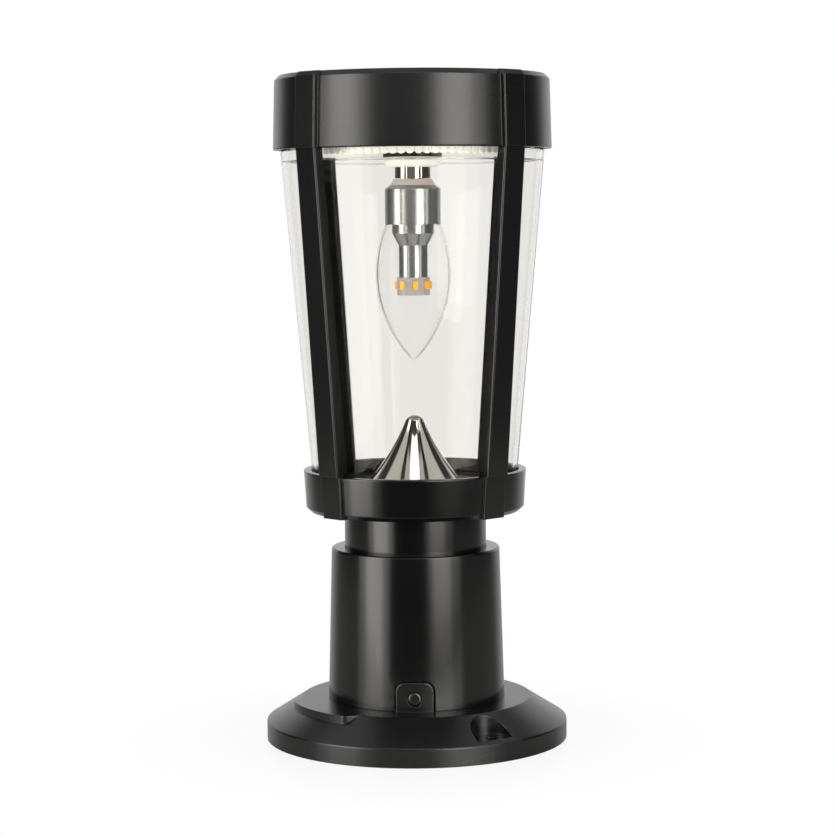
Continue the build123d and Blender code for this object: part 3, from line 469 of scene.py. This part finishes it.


# %% [markdown]
# ## Fluted ceiling
# Over the bulb sits a reflector whose underside is pressed into 84 rounded flutes. Its plain white is a
# painted reflection of the white surroundings that its polished face mirrors. From the front only the
# flutes' ends show, as a row of lobes under the top ring. One flute is a wedge-shaped bar with its lower
# edges rolled round and its end domed. An array of rods would do, but a wedge keeps the flutes joined from
# the bore to the rim.

# %% One flute
flute_count = 84
flute_hang, bore_rise = 1.1 * MM, 2.6 * MM
dome_height, dome_inset = 0.6 * MM, 0.45 * MM
low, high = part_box("ceiling_reflector")
low.z -= flute_hang
bore, rim = 14.7 * MM, high.x - dome_height
near, under_top = 0.1 * MM, high.z - 0.5 * MM
aligned = 0.9  # share of a direction that lies along an axis
bpy.ops.object.select_all(action="DESELECT")
bpy.ops.mesh.primitive_cube_add(size=1.0, location=((bore + rim) / 2, 0, (low.z + high.z) / 2))
ceiling = bpy.context.object
ceiling.name = "fluted_ceiling"
ceiling.scale = (rim - bore, 2 * rim * tan(pi / flute_count), high.z - low.z)
bpy.ops.object.transform_apply(location=True, scale=True)
bpy.ops.object.mode_set(mode="EDIT")
pick_faces(lambda middle, normal: normal.x < -aligned)
bpy.ops.transform.resize(value=(1, bore / rim, 1))
pick_edges(lambda middle, along: middle.z < low.z + near and middle.x < bore + near)
bpy.ops.transform.translate(value=(0, 0, bore_rise))
pick_edges(lambda middle, along: middle.z < under_top and abs(along.x) > aligned)
bpy.ops.mesh.bevel(offset_type="PERCENT", offset_pct=49, segments=4, affect="EDGES")
pick_faces(lambda middle, normal: normal.x > aligned)
bpy.ops.mesh.inset(thickness=dome_inset, depth=dome_height)
print("one flute:", len(bmesh.from_edit_mesh(ceiling.data).faces), "faces")

# %% [markdown]
# The flutes hang from one plate, so the flat flanks in that plate come off first. A spin then sets the
# other flutes beside the first, and welding makes them one disc. An array modifier would do the same, but
# it would need an empty object for its turn.

# %% Spin the flutes round
plate_level = high.z - 1.0 * MM
weld = 0.01 * MM
pick_faces(lambda middle, normal: abs(normal.y) > aligned and middle.z > plate_level)
bpy.ops.mesh.delete(type="FACE")
bpy.ops.mesh.select_all(action="SELECT")
last_turn = 2 * pi * (flute_count - 1) / flute_count
bpy.ops.mesh.spin(steps=flute_count - 1, dupli=True, angle=last_turn, center=(0, 0, 0), axis=(0, 0, 1))
bpy.ops.mesh.select_all(action="SELECT")
bpy.ops.mesh.remove_doubles(threshold=weld)
bpy.ops.mesh.normals_make_consistent(inside=False)
bpy.ops.object.mode_set(mode="OBJECT")
print("flutes joined into", len(ceiling.data.polygons), "faces")

# %% [markdown]
# The disc needs its holes: a window for the push switch at the back, and four sunk holes for its screws.
# Cutting them after the spin keeps the flute itself simple.

# %% Holes in the ceiling
def drill(piece, radius, angle, circle, bottom, top):
    """Bores an upright round hole at an angle from the front and a distance from the axis."""
    bpy.ops.object.select_all(action="DESELECT")
    turn = radians(angle)
    place = (circle * sin(turn), -circle * cos(turn), (bottom + top) / 2)
    bpy.ops.mesh.primitive_cylinder_add(vertices=32, radius=radius, depth=top - bottom, location=place)
    cut_out(piece, bpy.context.object)


below, above = low.z - 2 * MM, high.z + 2 * MM
switch_hole, switch_circle, switch_angle = 4.1 * MM, 44 * MM, 180
head_hole, shank_hole, screw_circle, first_screw = 3.0 * MM, 1.7 * MM, 50 * MM, 67.5
drill(ceiling, switch_hole, switch_angle, switch_circle, below, above)
for quarter in range(4):
    screw_angle = first_screw + 90 * quarter
    drill(ceiling, head_hole, screw_angle, screw_circle, below, plate_level)
    drill(ceiling, shank_hole, screw_angle, screw_circle, below, above)
ceiling.select_set(True)
bpy.ops.object.shade_smooth_by_angle(angle=radians(40))
# The ceiling's white is a painted reflection of the white surroundings.
ceiling.data.materials.clear()
ceiling.data.materials.append(white_as_painted_reflection)
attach(ceiling, "solar_head")
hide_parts("ceiling_reflector")
print("fluted ceiling:", len(ceiling.data.polygons), "faces")

# %% [markdown]
# ## Lip of the shade
# The shade's thick rim ends below in a polished lip, and from the front it draws two fine lines across
# the clear shade. A small circle stood on edge is spun once round the axis and welded where it closes. A
# torus would give the same ring, but a spin would take any other section as well.

# %% Lip of the shade
lip_radius, lip_level, lip_section = 61.7 * MM, 286.5 * MM, 0.45 * MM
bpy.ops.object.select_all(action="DESELECT")
bpy.ops.mesh.primitive_circle_add(
    vertices=12,
    radius=lip_section,
    location=(lip_radius, 0, lip_level),
    rotation=(pi / 2, 0, 0),
)
lip = bpy.context.object
lip.name = "shade_lip"
bpy.ops.object.transform_apply(location=True, rotation=True)
bpy.ops.object.mode_set(mode="EDIT")
bpy.ops.mesh.select_all(action="SELECT")
bpy.ops.mesh.spin(steps=144, angle=2 * pi, center=(0, 0, 0), axis=(0, 0, 1))
bpy.ops.mesh.select_all(action="SELECT")
bpy.ops.mesh.remove_doubles(threshold=weld)
bpy.ops.mesh.normals_make_consistent(inside=False)
bpy.ops.object.mode_set(mode="OBJECT")
bpy.ops.object.shade_smooth()
lip.data.materials.append(polished_lip)
lip.visible_shadow = False
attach(lip, "lantern")
print("shade lip:", len(lip.data.polygons), "faces")

# %% [markdown]
# ## Socket-head screws
# A small socket-head screw holds each tab to the sleeve. Its head is a short cylinder with the front rim
# rolled round, so that it catches a ring of light. A lathed profile would do, but an inset on the back
# face, drawn out into the shank, takes its length straight from the solid that it replaces.

# %% Screw head and shank
low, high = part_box("sleeve_screws")
screw_level = (low.z + high.z) / 2
head_radius = (high.z - low.z) / 2
head_height, shank_radius, rim_round = 2.0 * MM, 2.0 * MM, 0.9 * MM
seat = low.y + head_height
front_limit = -30 * MM  # the other two screws lie behind it
depths = [corner.co.y for corner in nodes["sleeve_screws"].data.vertices]
shank_end = max(y for y in depths if y < front_limit)
bpy.ops.object.select_all(action="DESELECT")
bpy.ops.mesh.primitive_cylinder_add(
    vertices=32,
    radius=head_radius,
    depth=head_height,
    location=(0, low.y + head_height / 2, screw_level),
    rotation=(pi / 2, 0, 0),
)
screws = bpy.context.object
screws.name = "socket_head_screws"
screws.data.materials.append(black_steel)
bpy.ops.object.transform_apply(location=True, rotation=True)
bpy.ops.object.mode_set(mode="EDIT")
pick_edges(lambda middle, along: middle.y < low.y + near)
bpy.ops.mesh.bevel(offset=rim_round, segments=4, affect="EDGES")
pick_faces(lambda middle, normal: normal.y > aligned)
bpy.ops.mesh.inset(thickness=head_radius - shank_radius)
bpy.ops.mesh.extrude_region_move(TRANSFORM_OT_translate={"value": (0, shank_end - seat, 0)})
bpy.ops.object.mode_set(mode="OBJECT")
print("one screw:", round((shank_end - low.y) / MM, 1), "mm long")

# %% [markdown]
# A six-sided bar cuts the driver's socket and leaves in it its dull oxide, darkened as painted shade. A spin
# then sets the three screws round the flange, a third of a turn apart. Copies would do as well, but as one
# mesh they replace the one node of the solid screws.

# %% Driver's socket and the other screws
socket_radius, socket_depth = 2.2 * MM, 1.5 * MM
bpy.ops.object.select_all(action="DESELECT")
bpy.ops.mesh.primitive_cylinder_add(
    vertices=6,
    radius=socket_radius,
    depth=2 * socket_depth,
    location=(0, low.y, screw_level),
    rotation=(pi / 2, 0, 0),
)
socket = bpy.context.object
# The socket's near-black is dull oxide with painted shade over it.
socket.data.materials.append(black_oxide_and_painted_shade)
cut_out(screws, socket)
screws.select_set(True)
bpy.ops.object.mode_set(mode="EDIT")
bpy.ops.mesh.select_all(action="SELECT")
bpy.ops.mesh.spin(steps=2, dupli=True, angle=4 * pi / 3, center=(0, 0, 0), axis=(0, 0, 1))
bpy.ops.mesh.select_all(action="SELECT")
bpy.ops.mesh.normals_make_consistent(inside=False)
bpy.ops.object.mode_set(mode="OBJECT")
bpy.ops.object.shade_smooth_by_angle(angle=radians(35))
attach(screws, "lantern")
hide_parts("sleeve_screws")
print("socket-head screws:", len(screws.data.polygons), "faces")

# %% [markdown]
# ## The studio
# To the camera, straight or through glass, everything round the lamp is white. What the black coat and
# the chrome reflect is another matter: a dim room in front, darker sides with a bright band above, and a
# white wall behind. A picture of a room could be wrapped round the scene, but a few soft edges between
# brightnesses, laid out by direction, can be tuned wall by wall.

# %% Soft edges by direction
world = bpy.context.scene.world or bpy.data.worlds.new("studio_world")
bpy.context.scene.world = world
world.use_nodes = True
tree = world.node_tree
tree.nodes.clear()
direction = add_node(tree, "ShaderNodeTexCoord").outputs["Generated"]
split = add_node(tree, "ShaderNodeSeparateXYZ", {"Vector": direction})
height, depth = split.outputs["Z"], split.outputs["Y"]


def soft_edge(along, start, end, before, after):
    """One brightness before a soft edge and another after it."""
    ends = {"Value": along, "From Min": start, "From Max": end}
    share = add_node(tree, "ShaderNodeMapRange", ends).outputs["Result"]
    sockets = {"Factor": share, "A": before, "B": after}
    return add_node(tree, "ShaderNodeMix", sockets, data_type="FLOAT").outputs["Result"]


# %% [markdown]
# The walls are read off the photograph: what the sleeve, the rings and the cone show between the bands
# of the lamps. Height and depth here are parts of a direction, from -1 to 1.

# %% Dim room
# In front, a grey wall stands on a black floor and darkens higher up.
front_wall = soft_edge(height, -0.05, 0.12, before=0.01, after=0.4)
front = soft_edge(height, 0.3, 0.6, before=front_wall, after=0.05)
# The sides are nearly black, under a bright band that slopes up towards the back.
side_slope = -0.4
sloping = add_node(tree, "ShaderNodeMath", {0: depth, 1: side_slope, 2: height}, operation="MULTIPLY_ADD")
side_wall = soft_edge(height, -0.05, 0.05, before=0.1, after=0.03)
side = soft_edge(sloping.outputs[0], 0.5, 0.58, before=side_wall, after=0.6)
# Behind the lamp is a white wall, and over everything a grey ceiling.
back = soft_edge(height, 0.2, 0.45, before=0.9, after=0.95)
near_walls = soft_edge(depth, -0.5, -0.42, before=front, after=side)
walls = soft_edge(depth, 0.6, 0.8, before=near_walls, after=back)
room = soft_edge(height, 0.8, 0.95, before=walls, after=0.5)
print("room made of", len(tree.nodes), "nodes")

# %% [markdown]
# The light path counts a ray's glossy bounces. With none the backdrop is white, and a ray that has met a
# mirror sees the room. Diffuse light stays white too, so the white ceiling and collar and the beige ring are
# lit evenly.

# %% White backdrop
rays = add_node(tree, "ShaderNodeLightPath").outputs
strength = soft_edge(rays["Glossy Depth"], 0.0, 1.0, before=1.0, after=room)
backdrop = add_node(tree, "ShaderNodeBackground", {"Color": linear("#ffffff"), "Strength": strength})
add_node(tree, "ShaderNodeOutputWorld", {"Surface": backdrop.outputs["Background"]})
print("white backdrop with a room for mirrors")

# %% [markdown]
# ## Table
# The lamp stands on a white table whose front edge is near, so that the flange's rim reflects the dark
# beyond it. A shadow catcher would do for the shadow, but the flange also has to mirror a real top.

# %% Table
table_width, table_front, table_back = 1.44, -0.22, 0.9
table_level = -0.1 * MM
bpy.ops.object.select_all(action="DESELECT")
bpy.ops.mesh.primitive_plane_add(size=1.0, location=(0, (table_front + table_back) / 2, table_level))
table = bpy.context.object
table.name = "white_table"
table.scale = (table_width, table_back - table_front, 1)
bpy.ops.object.transform_apply(location=True, scale=True)
print("table", table_width, "m wide, front edge at", table_front, "m")

# %% [markdown]
# The top glows like a light table and fades into the backdrop. Only close to the flange does a little of
# its own white show, with the lamp's shadow on it, and in reflections it is a plain top. From below it
# can be seen through, so that the underside of the lamp can be looked at.

# %% Table top
shadow_start, shadow_end, shadow_glow = 0.07, 0.17, 0.86
table_white, tree, shader = start_finish("white_table_top", "#c4c4c2", 0.2)
place = add_node(tree, "ShaderNodeTexCoord").outputs["Object"]
distance = add_node(tree, "ShaderNodeVectorMath", {0: place}, operation="LENGTH")
fade = add_node(
    tree,
    "ShaderNodeMapRange",
    {
        "Value": distance.outputs["Value"],
        "From Min": shadow_start,
        "From Max": shadow_end,
        "To Min": shadow_glow,
        "To Max": 1.0,
    },
    interpolation_type="SMOOTHSTEP",
)
rays = add_node(tree, "ShaderNodeLightPath").outputs
seen = add_node(tree, "ShaderNodeMath", {0: rays["Glossy Depth"], 1: 0.5}, operation="LESS_THAN")
share = add_node(
    tree, "ShaderNodeMath", {0: fade.outputs["Result"], 1: seen.outputs[0]}, operation="MULTIPLY"
)
white = add_node(tree, "ShaderNodeEmission", {"Color": linear("#ffffff"), "Strength": 1.0})
top = add_node(
    tree,
    "ShaderNodeMixShader",
    {"Fac": share.outputs[0], 1: shader.outputs["BSDF"], 2: white.outputs["Emission"]},
)
underside = add_node(tree, "ShaderNodeNewGeometry").outputs["Backfacing"]
clear = add_node(tree, "ShaderNodeBsdfTransparent")
one_sided = add_node(
    tree, "ShaderNodeMixShader", {"Fac": underside, 1: top.outputs["Shader"], 2: clear.outputs["BSDF"]}
)
tree.links.new(one_sided.outputs["Shader"], tree.nodes["Material Output"].inputs["Surface"])
table.data.materials.append(table_white)
print("table top glows from", shadow_glow, "to 1.0")

# %% [markdown]
# ## Soft lamps
# A tall soft lamp on each side draws the bright bands down the black coat. From behind, such a lamp would
# show through the glass as a white slab. A plain area lamp can't tell that look from a reflection, but
# the glow of a mesh panel can: it stays dark to a look that has passed through glass and met nothing
# else. The glow is added to clear air, so that a panel hides nothing behind it.

# %% Glow of a lamp
def lamp_glow(name, radiance):
    """A glow that is dark only to a straight look through glass."""
    glow = bpy.data.materials.new(name)
    glow.use_nodes = True
    tree = glow.node_tree
    tree.nodes.clear()
    rays = add_node(tree, "ShaderNodeLightPath").outputs
    bounces = add_node(
        tree, "ShaderNodeMath", {0: rays["Glossy Depth"], 1: rays["Diffuse Depth"]}, operation="ADD"
    )
    straight = add_node(tree, "ShaderNodeMath", {0: bounces.outputs[0], 1: 0.5}, operation="LESS_THAN")
    through_glass = add_node(
        tree,
        "ShaderNodeMath",
        {0: straight.outputs[0], 1: rays["Is Transmission Ray"]},
        operation="MULTIPLY",
    )
    strength = add_node(
        tree,
        "ShaderNodeMath",
        {0: through_glass.outputs[0], 1: -radiance, 2: radiance},
        operation="MULTIPLY_ADD",
    ).outputs[0]
    light = add_node(tree, "ShaderNodeEmission", {"Color": linear("#fffdf7"), "Strength": strength})
    clear = add_node(tree, "ShaderNodeBsdfTransparent")
    both = add_node(tree, "ShaderNodeAddShader", {0: light.outputs["Emission"], 1: clear.outputs["BSDF"]})
    add_node(tree, "ShaderNodeOutputMaterial", {"Surface": both.outputs["Shader"]})
    return glow


# %% [markdown]
# Each lamp is a pair of panels that face the lantern's axis, a wide one and a brighter one in front of
# it. One panel alone would end its band with a hard edge, and the photograph's bands fade out.

# %% Soft lamps
def soft_lamp(name, azimuth, distance, low, high, width, radiance):
    """A glowing upright panel at an azimuth from the front, positive to the right."""
    bpy.ops.object.select_all(action="DESELECT")
    side = radians(azimuth)
    centre = Vector((distance * sin(side), -distance * cos(side), (low + high) / 2))
    facing = (Vector((0, 0, centre.z)) - centre).to_track_quat("-Z", "Y").to_euler()
    bpy.ops.mesh.primitive_plane_add(size=1.0, location=centre, rotation=facing)
    panel = bpy.context.object
    panel.name = name
    panel.scale = (width, high - low, 1)
    bpy.ops.object.transform_apply(location=True, rotation=True, scale=True)
    panel.visible_camera = False
    panel.visible_shadow = False
    panel.data.materials.append(lamp_glow(name + "_glow", radiance))
    print(name, "glows at", radiance)


soft_lamp("left_wide_lamp", azimuth=-57.0, distance=1.5, low=-0.22, high=1.3, width=1.25, radiance=1.9)
soft_lamp("left_inner_lamp", azimuth=-56.0, distance=1.4, low=-0.22, high=1.3, width=0.62, radiance=2.8)
soft_lamp("right_wide_lamp", azimuth=40.0, distance=1.5, low=-0.08, high=1.5, width=1.25, radiance=1.9)
soft_lamp("right_inner_lamp", azimuth=36.0, distance=1.4, low=-0.08, high=1.5, width=0.62, radiance=2.8)

# %% [markdown]
# High in front hangs one more lamp, which lights the slope of the flange and the edges of the tabs. No
# glass shows it from the usual sides, so a plain area lamp will do. Its power follows from the radiance
# that is wanted and from its area.

# %% Overhead lamp
overhead_distance, overhead_low, overhead_high = 0.75, 1.0, 2.4
overhead_width, overhead_radiance = 0.68, 1.6
overhead_height = overhead_high - overhead_low
overhead_place = (0, -overhead_distance, (overhead_low + overhead_high) / 2)
bpy.ops.object.select_all(action="DESELECT")
bpy.ops.object.light_add(type="AREA", location=overhead_place, rotation=(pi / 2, 0, 0))
overhead = bpy.context.object
overhead.name = "overhead_soft_lamp"
overhead.data.shape = "RECTANGLE"
overhead.data.size = overhead_width
overhead.data.size_y = overhead_height
overhead.data.energy = overhead_radiance * pi * overhead_width * overhead_height
overhead.visible_camera = False
print("overhead lamp", round(overhead.data.energy, 1), "W")
